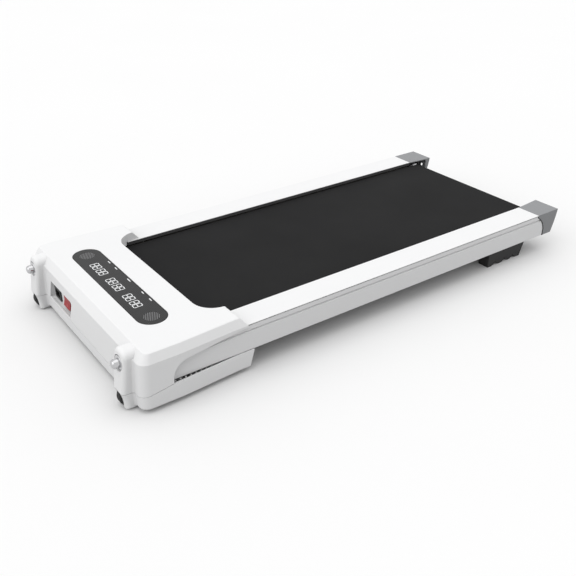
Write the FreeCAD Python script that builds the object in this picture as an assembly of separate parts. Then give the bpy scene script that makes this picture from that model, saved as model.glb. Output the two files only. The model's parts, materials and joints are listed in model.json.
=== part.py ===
import FreeCAD, Part
import math
import os

# A walking pad, in millimetres. The hood and its wheels are at -Y, the end caps at +Y.
# The floor is z = 0. Left and right are those of a walker who faces the display: left is +X.
V = FreeCAD.Vector

# Overall
overall_length = 1145.0     # lug bolts to rear caps
belt_width = 372.0
belt_edge_gap = 4.0         # belt edge to rail
rail_width = 60.0
hood_flare = 10.0           # hood side beyond the rail side
foot_height = 45.0          # rails above the floor
rail_height = 57.0
hood_rise = 18.0            # hood top above rail top
pan_clearance = 8.5         # pan above the floor

# Shared clearances
run_gap = 0.3               # between moving curved faces
fit_gap = 0.05              # shaft in its bore
seat_gap = 0.3              # fixed covers
seam_gap = 0.9              # visible seams

# Hood and pan
crease_height = 36.0        # lower edge of the hood face
face_lean = 4.0             # hood face from its lower to its upper edge
front_bevel = 12.5          # front bevel, seen from above
side_bevel = 7.5            # side bevel, seen from above
pan_draft = 0.5
corner_low = 18.0
corner_high = 11.0
hood_wall = 3.0
hood_skin = 4.0             # hood top
pan_fillet = 4.5
crown_bevel = 2.2           # soft edge round the hood top
crown_drop = 1.0
bay_inset = 4.5             # wing edge outside the rail's inner edge
bay_corner = 45.0
wing_length = 43.3          # bay edge to the wing tip on top
wing_slant = 14.0
wing_stand = 3.0            # wing side beyond the rail side
taper_length = 120.0
seam_rise = 10.0            # seam climbs from the crease to the scoop
seam_run = 70.0
pan_run = 69.3              # belt bay to the pan's rear edge at the seam
pan_tail_slant = 11.0

# Side scoop in the hood wall
scoop_front = 63.5          # hood face to the scoop
scoop_round = 33.0
scoop_height = 41.5         # above the seam
scoop_tail_height = 52.0
rib_count = 8
rib_pitch = 10.5
rib_thick = 2.0

# Display
lens_length = 353.0
lens_width = 60.0
lens_setback = 83.75        # hood face to the lens centre
lens_thick = 2.0
lens_sink = 0.2
lens_ledge = 3.5
grille_inset = 29.5         # lens end to the grille's centre
grille_radius = 15.5
grille_slots = 10
slot_width = 1.6
slot_turn = 151.0           # degrees from +X
digit_groups = 3
digit_depth = 26.0
module_gap = 14.5
module_margin = 21.9        # board end to the first module
board_thick = 1.6
board_drop = 7.0
speaker_radius = 16.0
speaker_height = 8.0

# Power pocket in the hood face
window_height = 41.0
window_slant = 13.0
window_round = 10.0
window_sill = 5.0           # above the crease
window_inset = 47.5         # lug centre to the window
pocket_depth = 11.0         # hood face to the panel
panel_thick = 3.0
pocket_wall = 2.5
inlet_inset = 22.5          # window edge to the inlet's centre
inlet_drop = 3.5            # inlet below the rocker
inlet_size = (30.0, 26.0)
inlet_mouth = (23.0, 16.0)
inlet_stand = 3.0
inlet_depth = 22.0
pin_size = (2.0, 5.0)
pin_spread = 7.0
pin_short = 5.0             # pin tips behind the mouth
rocker_inset = 34.0         # window edge to the rocker's centre
power_spread = 53.5         # inlet to rocker
frame_size = (42.0, 37.0)
frame_stand = 1.5
frame_wall = 2.0
frame_depth = 18.0
rocker_stand = 3.0
rocker_gap = 0.8
rocker_sway = 1.6           # room above and below for the tilt
rocker_pin = 2.0
rocker_rest_tilt = 7.0      # degrees

# Wheel lugs
lug_inset = 51.0            # hood side to the lug's centre
lug_width = 40.0
lug_shoulder = 15.0         # upper corners
lug_drop = 1.5              # lug top below the hood top
lug_nose = 11.0             # upper front ahead of the hood face
lug_toe = 22.0              # foremost edge, above the wheel
lug_toe_rise = 1.0          # above the crease
lug_heel = 17.0             # walls beside the wheel
lug_sweep = 29.0            # height of the hollow from the toe to the walls
lug_root = 17.0             # behind the hood face
lug_round = 8.0
lug_flare = 4.0             # hollow blend into the hood face
lug_sink = 0.1              # blend's outer edge behind the hood face
lug_bottom = 5.0
wheel_radius = 20.5
wheel_lift = 1.0            # wheel above the floor
wheel_width = 16.0
wheel_side_gap = 1.5
wheel_ahead = 2.3           # wheel axis ahead of the hood face
wheel_round = 3.0
hub_radius = 13.0
well_gap = 2.0
well_wall = 2.5
axle_radius = 4.0
axle_seat = 2.5             # axle end in the lug wall
bolt_drop = 26.0            # bolt below the lug top
bolt_flange_radius = 14.4
bolt_recess_gap = 1.2       # round the flange
bolt_flange_thick = 4.0
bolt_ahead = 27.5           # bolt tip ahead of the hood face
bolt_seat_ahead = 10.0      # spot face ahead of the hood face
bolt_head_radius = 9.0
bolt_head_round = 6.5
bolt_shank_radius = 5.0

# Rails
rail_setback = 45.0         # hood face to the rail's front end
rail_notch = 58.0           # front roller axis to where the rail is whole
cover_thick = 4.5
cover_side = 1.2            # cover's outer edge, above the joint
cover_lip = 3.5
cover_edge = 0.8            # cover above the belt guard
guard_drop = 4.0            # belt guard below the cover
guard_inset = 0.5           # behind the cover's edge
joint_height = 1.8
joint_depth = 3.2
band_height = 8.7
rail_chamfer = 1.5
groove_height = 5.0
groove_depth = 3.2
rail_wall = 5.0
flange_thick = 3.0
rail_foot = 45.0            # width of the lower flange

# Frame
channel_inset = 24.0        # rail's inner edge to the channel
channel_thick = 3.0
channel_flange = 26.0
channel_tail = 20.0         # rear roller axis to the end plate
plate_thick = 3.0
tube_height = 14.0
tube_depth = 30.0
tube_wall = 2.0
tube_count = 4
tube_margin = 60.0          # deck end to the outer tubes
deck_thick = 18.0
deck_side_gap = 2.0
deck_front_gap = 36.0       # front roller axis to the deck
deck_rear_gap = 27.0
cushion_size = (40.0, 24.0)
cushion_inset = 46.0        # from the belt's edge
deck_screw_inset = 13.0     # from the channel
deck_screw_radius = 2.5
deck_screw_head = 5.0

# Belt and rollers
belt_thick = 1.8
belt_sink = 10.0            # belt top below rail top
roller_radius = 18.0
roller_wall = 3.0
roller_over = 2.0           # roller inside the belt's edge
roller_under = 29.7         # front roller axis under the hood
rear_axis_inset = 49.0      # rear roller axis ahead of the cap's rear edge
roller_axle = 6.0
bearing_width = 10.0
pulley_radius = 30.0
pulley_width = 18.0
pulley_rim = 1.5
pulley_offset = 4.0         # pulley beyond the belt's edge
drive_thick = 2.4

# Motor
motor_setback = 63.0        # hood face to the motor's axis
drive_reach = 74.0          # motor's axis to the front roller axis
motor_height = 62.0
motor_radius = 34.0
motor_wall = 4.0
motor_inset = 25.0          # motor's end to the pulley
motor_length = 135.0
end_bell = 6.0
armature_gap = 2.0
motor_shaft_radius = 6.0
flywheel_radius = 32.0
flywheel_width = 16.0
motor_pulley_radius = 12.0
saddle_length = 70.0
saddle_rise = 24.0
controller_size = (96.0, 62.0, 8.0)
controller_inset = 89.0     # from the lug's centre
controller_setback = 72.0
fin_count = 9
fin_height = 22.0
fin_thick = 3.0

# Rear caps and tension
cap_length = 70.5
cap_tail_slant = 15.5
cap_side_setback = 25.0     # lower front edge behind the upper one
cap_flare = 6.5             # inner edge leans in towards the rear
cap_wall = 2.2
cap_lip = 13.5              # inner side wall at the rear
cap_lip_wall = 3.5
cap_lip_round = 5.0
cap_seam = 3.0              # rail's end to the cap, seen from the side
seal_depth = 3.0
seal_proud = 0.9            # seal ahead of the rail side
tension_inset = 7.0         # from the channel
tension_rise = 6.0          # tension bolt above the roller axis
block_size = (13.0, 26.0, 26.0)
tension_radius = 3.0
tension_head = 5.5
tension_head_length = 5.0
key_radius = 3.6
key_socket = 2.5

# Feet and screws
rear_foot_width = 28.0
rear_foot_inset = 16.0      # from the rail side
rear_foot_length = 127.0
rear_foot_taper = 16.0
rear_foot_setback = 86.0    # foot's rear edge ahead of the cap's rear edge
lobe_rise_share = 0.094     # notch between two lobes, as a share of the foot's length
lobe_front_share = 0.097
lobe_back_share = 0.122
notch_places = (0.205, 0.457, 0.681)
pad_radius = 16.0
pad_inset = 74.0            # from the hood side
pad_setback = 78.0
screw_radius = 2.5
screw_head = 4.5
screw_head_height = 3.0
post_radius = 7.0
post_inset = 17.0           # from the rail side
post_setback = 85.0
tail_margin = 31.0          # rear posts and pads ahead of the pan's rear edge
hood_post_x = 28.0
hood_post_setback = 13.0
foot_screw_inset = 28.0
cap_screw_setback = 38.0

# Levels and lines that follow from these
rail_inner = belt_width / 2 + belt_edge_gap
rail_outer = rail_inner + rail_width
hood_side = rail_outer + hood_flare
wing_side = rail_outer + wing_stand
rail_bottom = foot_height
rail_top = rail_bottom + rail_height
hood_top = rail_top + hood_rise
cover_bottom = rail_top - cover_thick
joint_high = rail_top - cover_side
joint_low = joint_high - joint_height
seam_high = crease_height + seam_rise
front_end = -overall_length / 2
rear_end = overall_length / 2
hood_front = front_end + bolt_ahead
bay_depth = motor_setback + drive_reach + roller_under
pan_tail = bay_depth + pan_run
bay_edge = hood_front + bay_depth
wing_tip = bay_edge + wing_length
wing_foot = wing_tip + wing_slant
bay_side = rail_inner + bay_inset
rail_front = hood_front + rail_setback
belt_top = rail_top - belt_sink
belt_outer = roller_radius + run_gap + belt_thick
axis_height = belt_top - belt_outer
front_axis = bay_edge - roller_under
notch_end = front_axis + rail_notch
rear_axis = rear_end - rear_axis_inset
deck_top = axis_height + roller_radius
deck_bottom = deck_top - deck_thick
deck_front = front_axis + deck_front_gap
deck_rear = rear_axis - deck_rear_gap
return_top = axis_height - roller_radius - run_gap
tube_bottom = return_top + 2 * run_gap
tube_top = tube_bottom + tube_height
channel_web = rail_inner + channel_inset
tension_x = channel_web - tension_inset
channel_top = cover_bottom - flange_thick
channel_bottom = rail_bottom + flange_thick
pan_floor = pan_clearance + hood_wall
lens_y = hood_front + lens_setback
lens_bottom = hood_top - lens_sink - lens_thick
lug_centre = hood_side - lug_inset
lug_top = hood_top - lug_drop
lug_toe_height = crease_height + lug_toe_rise
bolt_height = lug_top - bolt_drop
window_width = inlet_inset + power_spread + rocker_inset
window_centre = window_inset + window_width / 2 - lug_centre
inlet_centre = window_centre - window_width / 2 + inlet_inset
rocker_centre = window_centre + window_width / 2 - rocker_inset
panel_y = hood_front + pocket_depth
power_z = crease_height + window_sill + window_height / 2
inlet_z = power_z - inlet_drop
wheel_z = wheel_lift + wheel_radius
wheel_y = hood_front - wheel_ahead
slot_half = wheel_width / 2 + wheel_side_gap
well_top = wheel_z + wheel_radius + well_gap
well_back = wheel_y + wheel_radius + well_gap
axle_reach = slot_half + axle_seat
motor_y = front_axis - drive_reach
pulley_x = belt_width / 2 + pulley_offset
motor_start = pulley_x - motor_inset - motor_length
controller_centre = controller_inset - lug_centre
grille_x = lens_length / 2 - grille_inset
board_length = 2 * (grille_x - speaker_radius - board_thick)
module_length = (board_length - 2 * module_margin - (digit_groups - 1) * module_gap) / digit_groups
post_x = rail_outer - post_inset
post_setbacks = (post_setback, pan_tail - tail_margin)
pad_x = hood_side - pad_inset
pad_setbacks = (pad_setback, pan_tail - tail_margin)
cap_front = rear_end - cap_length
tension_z = axis_height + tension_rise
plate_y = rear_axis + channel_tail


# Small helpers for solids
def block(x0, x1, y0, y1, z0, z1):
    return Part.makeBox(x1 - x0, y1 - y0, z1 - z0, V(x0, y0, z0))


def rod(start, direction, radius, reach):
    return Part.makeCylinder(radius, reach, V(*start), V(*direction))


def ring(start, direction, outer, inner, reach):
    return rod(start, direction, outer, reach).cut(rod(start, direction, inner, reach))


def plan(z):
    return lambda x, y: V(x, y, z)


def side(x):
    return lambda y, z: V(x, y, z)


def front(y):
    return lambda x, z: V(x, y, z)


# A closed wire through its steps: a step is a corner, or the middle and the end of an arc
def wire(place, steps):
    edges = []
    here = steps[0]
    for step in steps[1:] + steps[:1]:
        if isinstance(step[0], tuple):
            middle, end = step
            edges.append(Part.Arc(place(*here), place(*middle), place(*end)).toShape())
        elif step != here:
            end = step
            edges.append(Part.makeLine(place(*here), place(*end)))
        here = end
    return Part.Wire(edges)


def side_prism(steps, x0, x1):
    return Part.Face(wire(side(x0), steps)).extrude(V(x1 - x0, 0, 0))


def front_prism(steps, y0, y1):
    return Part.Face(wire(front(y0), steps)).extrude(V(0, y1 - y0, 0))


def plan_prism(steps, z0, z1):
    return Part.Face(wire(plan(z0), steps)).extrude(V(0, 0, z1 - z0))


def mirrored(shape):
    return shape.mirror(V(0, 0, 0), V(1, 0, 0))


def both(shape):
    return [shape, mirrored(shape)]


def stadium(length, width, x, y):
    r = width / 2
    half = length / 2 - r
    return [(x - half, y - r), (x + half, y - r), ((x + half + r, y), (x + half, y + r)),
            (x - half, y + r), ((x - half - r, y), (x - half, y - r))]


# Middle of an arc that starts along a line and leaves it by rise over a run
def ease(run, rise):
    radius = (run ** 2 + rise ** 2) / (2 * rise)
    half = math.atan2(run, radius - rise) / 2
    return radius * math.sin(half), radius * (1 - math.cos(half))


# A closed band around two round ends whose axes run along X
def band(end_a, radius_a, end_b, radius_b):
    reach = math.hypot(end_b[0] - end_a[0], end_b[1] - end_a[1])
    heading = math.atan2(end_b[1] - end_a[1], end_b[0] - end_a[0])
    lift = math.acos((radius_a - radius_b) / reach)

    def at(end, radius, angle):
        return (end[0] + radius * math.cos(angle), end[1] + radius * math.sin(angle))

    up = heading + lift
    down = heading - lift
    return [at(end_a, radius_a, down), (at(end_a, radius_a, heading + math.pi), at(end_a, radius_a, up)),
            at(end_b, radius_b, up), (at(end_b, radius_b, heading), at(end_b, radius_b, down))]


# Plan outline of the hood: straight face, round corners, sides that taper in to the wings
def hood_ring(z, face, wide, narrow, tail, corner):
    bite = corner * (1 - math.sqrt(0.5))
    taper_rear = wing_tip - hood_rise / 2
    taper_front = taper_rear - taper_length
    return wire(plan(z), [
        (wide - corner, face), ((wide - bite, face + bite), (wide, face + corner)),
        (wide, taper_front), (narrow, taper_rear), (narrow, tail), (-narrow, tail),
        (-narrow, taper_rear), (-wide, taper_front), (-wide, face + corner),
        ((-wide + bite, face + bite), (-wide + corner, face))])


# The hood's full form, or its hollow when a wall is given
def hood_form(wall, skin):
    rings = [
        hood_ring(crease_height - seam_rise, hood_front + wall, hood_side - wall, wing_side - wall,
                  wing_foot - wall, corner_low - wall),
        hood_ring(crease_height, hood_front + wall, hood_side - wall, wing_side - wall,
                  wing_foot - wall, corner_low - wall),
        hood_ring(rail_top - skin / 4, hood_front + face_lean + wall, hood_side - wall, wing_side - wall,
                  wing_foot - wall, corner_low - wall)]
    for rise, inset in ((-crown_drop, wall), (0, wall + crown_bevel)):
        rings.append(hood_ring(
            hood_top - skin + rise, hood_front + face_lean + front_bevel + inset,
            hood_side - side_bevel - inset, wing_side - side_bevel - inset, wing_tip - inset,
            corner_high - inset))
    return Part.makeLoft(rings, True, True)


# The pan's full form, or its hollow when a wall is given
def pan_form(wall):
    slope = pan_tail_slant / (seam_high - pan_clearance)
    tail = hood_front + pan_tail

    def tail_at(z):
        return tail - (seam_high - z) * slope - wall

    low = pan_clearance + wall
    high = seam_high + hood_wall
    rings = [
        hood_ring(low, hood_front + pan_draft + wall, hood_side - pan_draft - wall,
                  wing_side - pan_draft - wall, tail_at(low), corner_low - wall),
        hood_ring(crease_height, hood_front + wall, hood_side - wall, wing_side - wall,
                  tail_at(crease_height), corner_low - wall),
        hood_ring(high, hood_front + wall, hood_side - wall, wing_side - wall,
                  tail_at(high), corner_low - wall)]
    return Part.makeLoft(rings, True, True)


# Everything above the seam, which climbs from the crease to the scoop
def above_seam(lift):
    return side_prism([
        (front_end, crease_height + lift), (hood_front, crease_height + lift),
        (hood_front + seam_run, seam_high + lift), (rear_end, seam_high + lift),
        (rear_end, hood_top + hood_rise), (front_end, hood_top + hood_rise)],
        -hood_side - 1, hood_side + 1)


def edges_near(shape, test):
    return [e for e in shape.Edges if all(test(v.Point) for v in e.Vertexes)]


# Space kept free for the rails
def rail_room(gap):
    room = block(rail_inner - gap, rail_outer + gap, rail_front - gap, rear_end,
                 rail_bottom - gap, rail_top + gap)
    return Part.Compound(both(room))


def bay_outline(grow):
    half = bay_side + grow
    edge = bay_edge - grow
    r = bay_corner + grow
    bite = r * (1 - math.sqrt(0.5))
    return [(-half + r, edge), (half - r, edge), ((half - bite, edge + bite), (half, edge + r)),
            (half, wing_foot + 1), (-half, wing_foot + 1), (-half, edge + r),
            ((-half + bite, edge + bite), (-half + r, edge))]


# A lug with round shoulders, whose front is hollowed below the toe to bare the wheel
def lug():
    x0 = lug_centre - lug_width / 2
    x1 = lug_centre + lug_width / 2
    r = lug_shoulder
    bite = r * (1 - math.sqrt(0.5))
    toe = hood_front - lug_toe
    heel = hood_front - lug_heel
    low = lug_toe_height - lug_sweep
    climb, lead = ease(lug_sweep, lug_toe - lug_heel)
    root = hood_front + lug_root
    body = side_prism([
        (hood_front - lug_nose, lug_top), (toe, lug_toe_height),
        ((heel - lead, low + climb), (heel, low)), (heel, lug_bottom), (root, lug_bottom),
        (root, lug_top)], x0, x1)
    arch = front_prism([
        (x0, lug_bottom - 1), (x1, lug_bottom - 1), (x1, lug_top - r),
        ((x1 - bite, lug_top - bite), (x1 - r, lug_top)), (x0 + r, lug_top),
        ((x0 + bite, lug_top - bite), (x0, lug_top - r))], toe - 1, root + 1)
    body = body.common(arch)
    front_edges = [e for e in body.Edges if e.CenterOfMass.y < hood_front - lug_nose + 1
                   and (e.BoundBox.XLength < 1e-3 or e.CenterOfMass.z > lug_top - r)]
    return body.makeFillet(lug_round, front_edges).fuse([lug_blend(1), lug_blend(-1)])


# A hollow strip that eases one side of the lug into the hood face
def lug_blend(way):
    r = lug_flare
    bite = r * (1 - math.sqrt(0.5))
    edge = lug_centre + way * lug_width / 2
    rings = []
    for z, line in ((pan_clearance + 1, hood_front + pan_draft), (crease_height, hood_front),
                    (lug_top - lug_shoulder, hood_front + face_lean)):
        face = line + lug_sink
        rings.append(wire(plan(z), [
            (edge - way, face - r), (edge, face - r),
            ((edge + way * bite, face - bite), (edge + way * r, face)),
            (edge + way * r, face + hood_wall / 2), (edge - way, face + hood_wall / 2)]))
    return Part.makeLoft(rings, True, True)


# Slot for the wheel: open below the crease, round above the wheel
def wheel_well():
    x0 = lug_centre - slot_half
    x1 = lug_centre + slot_half
    slot = block(x0, x1, front_end - 1, wheel_y, -1, crease_height)
    low = block(x0, x1, front_end - 1, well_back, -1, wheel_z)
    arch = rod((x0, wheel_y, wheel_z), (1, 0, 0), wheel_radius + well_gap, 2 * slot_half)
    return slot.fuse([low, arch])


def well_case(y0, z0, z1):
    half = slot_half + well_wall
    return block(lug_centre - half, lug_centre + half, y0, well_back + well_wall, z0, z1)


def window_steps(grow):
    low = crease_height + window_sill - grow
    high = crease_height + window_sill + window_height + grow
    left = window_centre - window_width / 2 - grow
    right = window_centre + window_width / 2 + grow
    lean = window_slant / 2
    r = window_round
    return [(left - lean, low), (right - lean, low),
            (right + lean * (1 - 2 * r / window_height), high - r),
            ((right + lean - r * 0.28, high - r * 0.28), (right + lean - r, high)), (left + lean, high)]


def display_cut():
    recess = plan_prism(stadium(lens_length + 2 * seat_gap, lens_width + 2 * seat_gap, 0, lens_y),
                        lens_bottom, hood_top + 1)
    through = plan_prism(stadium(lens_length - 2 * lens_ledge, lens_width - 2 * lens_ledge, 0, lens_y),
                         hood_top - 2 * hood_skin, hood_top)
    return recess.fuse(through)


def scoop_cut():
    start = hood_front + scoop_front
    high = seam_high + scoop_height
    r = scoop_round
    lift = r * (1 - math.sqrt(0.5))
    cut = side_prism([
        (start, seam_high - 2 * hood_wall), (start, high - r),
        ((start + lift, high - lift), (start + r, high)),
        (wing_foot + 1, seam_high + scoop_tail_height), (wing_foot + 1, seam_high - 2 * hood_wall)],
        rail_outer - hood_wall, hood_side + 1)
    return Part.Compound(both(cut))


def lug_bolt_axis(start, radius, reach):
    return rod((lug_centre, start, bolt_height), (0, -1, 0), radius, reach)


def hood_cover():
    form = hood_form(0, 0)
    shell = form.cut(hood_form(hood_wall, hood_skin))
    skirt = plan_prism(bay_outline(hood_wall), belt_top + hood_wall, hood_top - 1)
    skirt = skirt.common(form)
    pocket = front_prism(window_steps(pocket_wall), hood_front + face_lean, panel_y + panel_thick)
    shell = shell.fuse([skirt, pocket])
    shell = shell.cut(plan_prism(bay_outline(0), 0, hood_top + 1))
    for body in both(lug()):
        shell = shell.fuse(body)
    roof = well_case(hood_front + face_lean, crease_height, well_top + well_wall)
    posts = [rod((x, hood_front + hood_post_setback, crease_height), (0, 0, 1), post_radius,
                 hood_top - crease_height).common(form) for x in (-hood_post_x, hood_post_x)]
    shell = shell.fuse(both(roof) + posts)
    shell = shell.common(above_seam(seam_gap / 2))
    cuts = [display_cut(), scoop_cut(), rail_room(seat_gap)]
    cuts += both(wheel_well())
    recess = bolt_flange_radius + bolt_recess_gap
    cuts += both(lug_bolt_axis(hood_front - bolt_seat_ahead, recess, lug_toe))
    cuts += both(lug_bolt_axis(hood_front, bolt_shank_radius + fit_gap, lug_toe))
    cuts.append(front_prism(window_steps(0), front_end, panel_y))
    cuts.append(block(*across(inlet_centre, inlet_size[0] - 4), panel_y - 1, panel_y + panel_thick + 1,
                      *across(inlet_z, inlet_size[1] - 4)))
    cuts.append(block(*across(rocker_centre, frame_size[0] - 4), panel_y - 1, panel_y + panel_thick + 1,
                      *across(power_z, frame_size[1] - 4)))
    cuts += [rod((x, hood_front + hood_post_setback, 0), (0, 0, 1), screw_radius + fit_gap,
                 crease_height + 25) for x in (-hood_post_x, hood_post_x)]
    return shell.cut(cuts).removeSplitter()


def across(middle, size):
    return (middle - size / 2, middle + size / 2)


def base_pan():
    form = pan_form(0)
    form = form.makeFillet(pan_fillet, edges_near(form, lambda p: p.z < pan_clearance + 1e-3))
    shell = form.cut(pan_form(hood_wall))
    for body in both(lug()):
        shell = shell.fuse(body)
    start = pan_clearance + 1
    well = well_case(hood_front + 1, start, seam_high)
    posts = [rod((post_x, hood_front + s, start), (0, 0, 1), post_radius, seam_high)
             for s in post_setbacks]
    hood_posts = [rod((x, hood_front + hood_post_setback, start), (0, 0, 1), post_radius, crease_height)
                  for x in (-hood_post_x, hood_post_x)]
    ribs = []
    for i in range(rib_count):
        y = hood_front + scoop_front + rib_pitch * (i + 0.5)
        ribs.append(block(rail_outer + seat_gap, wing_side, y, y + rib_thick, pan_floor, rail_bottom))
    pieces = both(well) + hood_posts
    for piece in posts + ribs:
        pieces += both(piece)
    shell = shell.fuse(pieces)
    shell = shell.cut([above_seam(-seam_gap / 2), rail_room(seat_gap)])
    cuts = both(wheel_well())
    seat = axle_reach + seat_gap
    cuts += both(rod((lug_centre - seat, wheel_y, wheel_z), (1, 0, 0), axle_radius + fit_gap, 2 * seat))
    cuts.append(pan_screw_holes())
    return shell.cut(cuts).removeSplitter()


def pan_screw_places():
    places = [(x, hood_front + hood_post_setback) for x in (-hood_post_x, hood_post_x)]
    places += [(x, hood_front + s) for x in (-post_x, post_x) for s in post_setbacks]
    return places


def pan_screw_holes():
    holes = []
    for x, y in pan_screw_places():
        holes.append(rod((x, y, 0), (0, 0, 1), screw_radius + fit_gap, seam_high + 1))
        holes.append(rod((x, y, 0), (0, 0, 1), screw_head + fit_gap,
                         pan_clearance + screw_head_height + 1))
    return Part.Compound(holes)


def screw_up(x, y, z, reach):
    head = rod((x, y, z), (0, 0, 1), screw_head, screw_head_height)
    return head.fuse(rod((x, y, z), (0, 0, 1), screw_radius, reach))


def pan_screws():
    reach = rail_bottom + flange_thick - pan_clearance - 1
    return Part.Compound([screw_up(x, y, pan_clearance + 1, reach) for x, y in pan_screw_places()])


def side_rail():
    o = rail_outer
    band_low = joint_low - band_height
    groove_low = band_low - groove_height
    inner = rail_inner + cover_lip + 2 * seat_gap
    rail = front_prism([
        (o - rail_chamfer, rail_bottom), (o, rail_bottom + rail_chamfer), (o, groove_low),
        (o - groove_depth, groove_low + groove_depth / 2), (o - groove_depth, band_low), (o, band_low),
        (o, joint_low), (o - joint_depth, joint_low), (o - joint_depth, cover_bottom),
        (inner, cover_bottom),
        (inner, channel_top), (o - rail_wall, channel_top), (o - rail_wall, channel_bottom),
        (o - rail_foot, channel_bottom), (o - rail_foot, rail_bottom)],
        rail_front, cap_front + cap_side_setback)
    notch = block(0, channel_web + channel_thick, rail_front - 1, notch_end, 0, rail_top)
    holes = []
    for s in post_setbacks:
        holes.append(rod((post_x, hood_front + s, 0), (0, 0, 1), screw_radius + fit_gap, channel_bottom))
    for y in foot_screw_places():
        holes.append(rod((foot_x(), y, 0), (0, 0, 1), screw_radius + fit_gap, channel_bottom))
    return rail.cut([notch, cap_outline(cap_seam)] + holes)


def rail_cover():
    top_round = cover_side / 2
    web = rail_outer - joint_depth - seat_gap
    cover = front_prism([
        (rail_inner, rail_top), (rail_outer - top_round, rail_top),
        ((rail_outer - top_round * 0.3, rail_top - top_round * 0.3), (rail_outer, rail_top - top_round)),
        (rail_outer, joint_high), (web, joint_high), (web, cover_bottom),
        (rail_inner + cover_lip, cover_bottom),
        (rail_inner + cover_lip, rail_top - cover_edge), (rail_inner, rail_top - cover_edge)],
        notch_end + seat_gap, cap_front - seam_gap)
    return cover


# Dark strip beside the belt, in a rebate under the cover's inner edge
def belt_guard():
    return block(rail_inner + guard_inset, rail_inner + cover_lip, notch_end + seat_gap,
                 cap_front - seam_gap, cover_bottom - guard_drop, rail_top - cover_edge)


def tube_places():
    first = deck_front + tube_margin
    last = deck_rear - tube_margin
    return [first + (last - first) * i / (tube_count - 1) for i in range(tube_count)]


def frame_channel():
    x0 = channel_web
    x1 = channel_web + channel_thick
    x2 = channel_web + channel_flange
    start = front_axis - 2 * roller_radius
    stop = plate_y + plate_thick
    shape = front_prism([
        (x0, channel_bottom), (x2, channel_bottom), (x2, channel_bottom + channel_thick),
        (x1, channel_bottom + channel_thick), (x1, channel_top - channel_thick),
        (x2, channel_top - channel_thick), (x2, channel_top), (x0, channel_top)], start, stop)
    plate = block(tension_x - block_size[0] / 2, x0, plate_y, stop, channel_bottom, channel_top)
    holes = [rod((0, front_axis, axis_height), (1, 0, 0), roller_axle + fit_gap, rail_outer),
             rod((tension_x, rear_axis, tension_z), (0, 1, 0), tension_radius + seat_gap, cap_length)]
    places = [(post_x, hood_front + s, 0) for s in post_setbacks]
    places += [(foot_x(), y, 0) for y in foot_screw_places()]
    holes += [rod(place, (0, 0, 1), screw_radius + fit_gap, axis_height) for place in places]
    holes.append(cap_screw_hole())
    return shape.fuse(plate).cut(holes)


def cross_tubes():
    tubes = []
    for y in tube_places():
        outer = block(-channel_web, channel_web, *across(y, tube_depth), tube_bottom, tube_top)
        inner = block(-channel_web, channel_web, *across(y, tube_depth - 2 * tube_wall),
                      tube_bottom + tube_wall, tube_top - tube_wall)
        tubes.append(outer.cut([inner, deck_screw_holes()]))
    return Part.Compound(tubes)


def deck_screw_places():
    reach = channel_web - deck_screw_inset
    return [(x, y) for y in tube_places() for x in (-reach, reach)]


def deck_screw(x, y, gap):
    tall = deck_screw_head - deck_screw_radius
    cone = Part.makeCone(deck_screw_radius + gap, deck_screw_head + gap, tall, V(x, y, deck_top - tall))
    low = tube_top - 2 * tube_wall
    reach = deck_top - low - cone.BoundBox.ZLength / 2
    return cone.fuse(rod((x, y, low), (0, 0, 1), deck_screw_radius + gap, reach))


def deck_screw_holes():
    return Part.Compound([deck_screw(x, y, fit_gap) for x, y in deck_screw_places()])


def deck_screws():
    return Part.Compound([deck_screw(x, y, 0) for x, y in deck_screw_places()])


def deck_board():
    half = channel_web - deck_side_gap
    board = block(-half, half, deck_front, deck_rear, deck_bottom, deck_top)
    return board.cut(deck_screw_holes())


def deck_cushions():
    pads = []
    reach = belt_width / 2 - cushion_inset
    for y in tube_places():
        for x in (-reach, reach):
            pads.append(block(*across(x, cushion_size[0]), *across(y, cushion_size[1]),
                              tube_top, deck_bottom))
    return Part.Compound(pads)


def walking_belt():
    ends = ((front_axis, axis_height), (rear_axis, axis_height))
    half = belt_width / 2
    outer = side_prism(band(ends[0], belt_outer, ends[1], belt_outer), -half, half)
    inner_radius = belt_outer - belt_thick
    return outer.cut(side_prism(band(ends[0], inner_radius, ends[1], inner_radius), -half, half))


def roller_tube(axis):
    half = belt_width / 2 - roller_over
    return ring((-half, axis, axis_height), (1, 0, 0), roller_radius, roller_radius - roller_wall,
                2 * half)


def roller_bearings(axis):
    half = belt_width / 2 - roller_over
    bore = roller_axle + fit_gap
    outer = roller_radius - roller_wall - fit_gap
    return Part.Compound([ring((x, axis, axis_height), (1, 0, 0), outer, bore, bearing_width)
                          for x in (-half, half - bearing_width)])


def front_roller_axle():
    reach = channel_web + 2 * channel_thick
    return rod((-reach, front_axis, axis_height), (1, 0, 0), roller_axle, 2 * reach)


def rear_roller_axle():
    reach = tension_x + block_size[0] / 2 - seat_gap
    return rod((-reach, rear_axis, axis_height), (1, 0, 0), roller_axle, 2 * reach)


# Both pulleys have a rim at each side to keep the drive belt on
def pulley(axis, height, radius, bore):
    body = ring((pulley_x, axis, height), (1, 0, 0), radius, bore, pulley_width)
    rims = []
    for x in (pulley_x, pulley_x + pulley_width - pulley_rim):
        rims.append(ring((x, axis, height), (1, 0, 0), radius + pulley_rim, bore, pulley_rim))
    return body.fuse(rims).removeSplitter()


# The front pulley's collar runs back to the roller tube
def roller_pulley():
    half = belt_width / 2 - roller_over
    bore = roller_axle + run_gap
    collar = ring((half, front_axis, axis_height), (1, 0, 0), roller_radius, bore, pulley_x - half)
    return pulley(front_axis, axis_height, pulley_radius, bore).fuse(collar).removeSplitter()


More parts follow.
